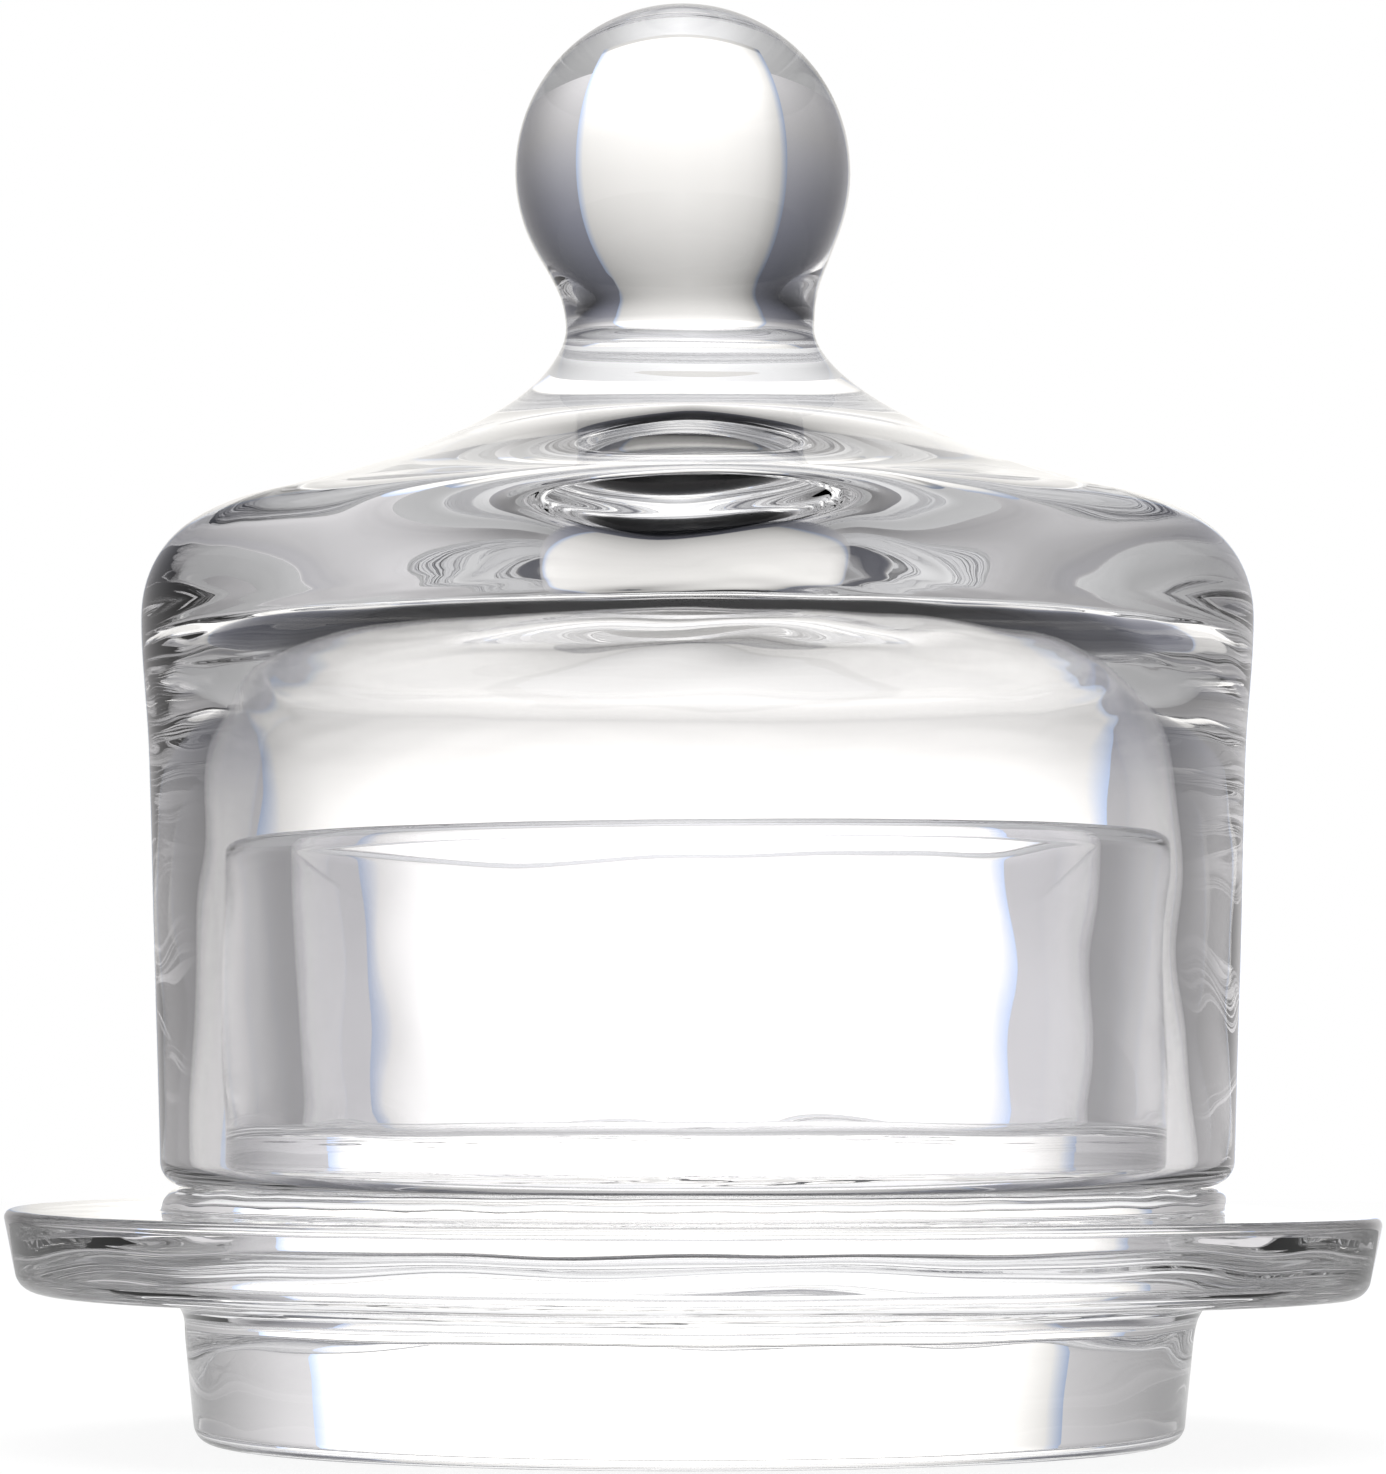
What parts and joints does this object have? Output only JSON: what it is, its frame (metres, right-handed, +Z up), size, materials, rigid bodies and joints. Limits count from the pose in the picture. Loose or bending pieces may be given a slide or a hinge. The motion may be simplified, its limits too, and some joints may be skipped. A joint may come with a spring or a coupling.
{
  "type": "butter dish",
  "caption": "Small round covered butter dish in clear pressed glass: footed saucer dish with a raised cup, and a thick-shouldered lid with a ball knob.",
  "frame": {"origin": "centre of the circle that the foot rests on, at the height of the table", "axes": "+Z up along the dish's and the lid's common axis; the shape is turned, so X and Y are free"},
  "size_m": [0.1192, 0.1192, 0.1255],
  "materials": {
    "dish_glass": "fire-polished pressed glass, clear",
    "lid_glass": "fire-polished pressed glass, clear"
  },
  "bodies": {
    "dish": {"dish": "dish_glass"},
    "lid": {"lid": "lid_glass"}
  },
  "joints": [
    {"name": "lid_lift", "type": "slide", "parent": "dish", "child": "lid", "axis": [0, 0, 1], "range_m": [0, 0.06]}
  ]
}
